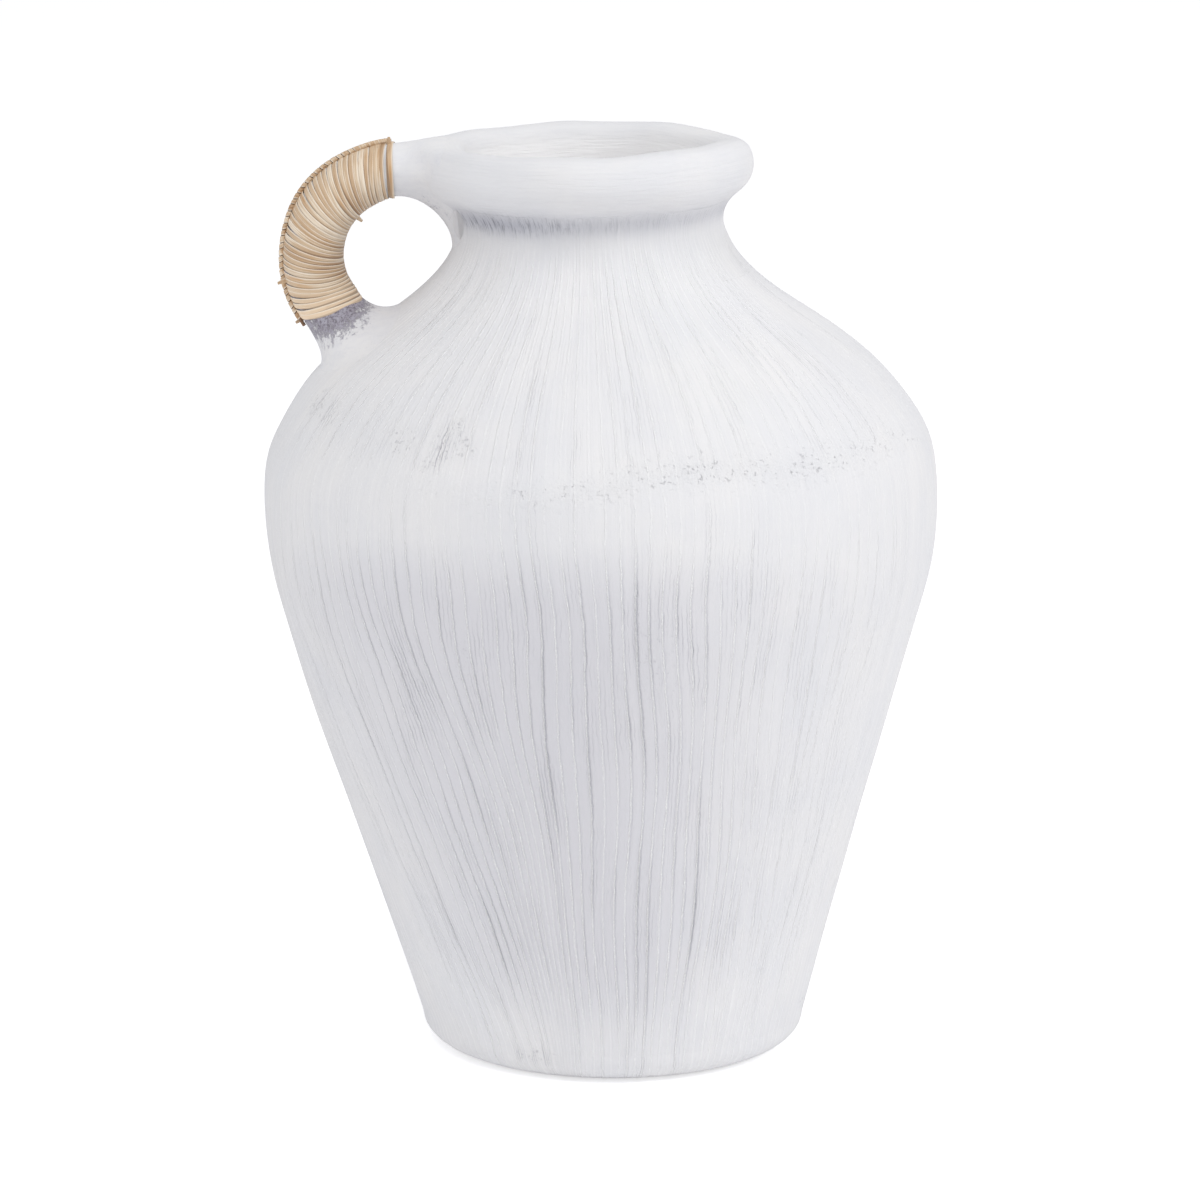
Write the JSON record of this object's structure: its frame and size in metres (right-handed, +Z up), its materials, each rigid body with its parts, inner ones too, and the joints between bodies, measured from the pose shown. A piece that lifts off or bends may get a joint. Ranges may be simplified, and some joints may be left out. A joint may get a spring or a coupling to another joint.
{
  "type": "jug vase",
  "caption": "Broad-shouldered whitewashed terracotta jug vase with a wide mouth, a thick rim and one loop handle bound in split cane.",
  "frame": {"origin": "on the ground, under the middle of the belly, where the foot's face lies", "axes": "+Z up along the vessel, -X towards the handle, -Y towards the front"},
  "size_m": [0.3001, 0.3, 0.4127],
  "materials": {
    "whitewashed_clay": "matt whitewash over scratched terracotta",
    "split_cane": "peeled cane, satin, unvarnished",
    "cane_spine": "cane with its darker skin on"
  },
  "bodies": {
    "root": {"foot_slab": "whitewashed_clay", "lower_body": "whitewashed_clay", "shoulder": "whitewashed_clay", "neck": "whitewashed_clay", "rim": "whitewashed_clay", "handle_roll": "whitewashed_clay", "upper_handle_collar": "whitewashed_clay", "lower_handle_collar": "whitewashed_clay", "cane_strand_upper": "split_cane", "cane_strand_middle": "split_cane", "cane_strand_lower": "split_cane", "cane_spine": "cane_spine", "spine_hitches": "cane_spine", "cane_tail_top": "split_cane", "cane_tail_inner": "split_cane", "cane_tail_side": "split_cane", "cane_tail_low": "split_cane"}
  },
  "joints": []
}
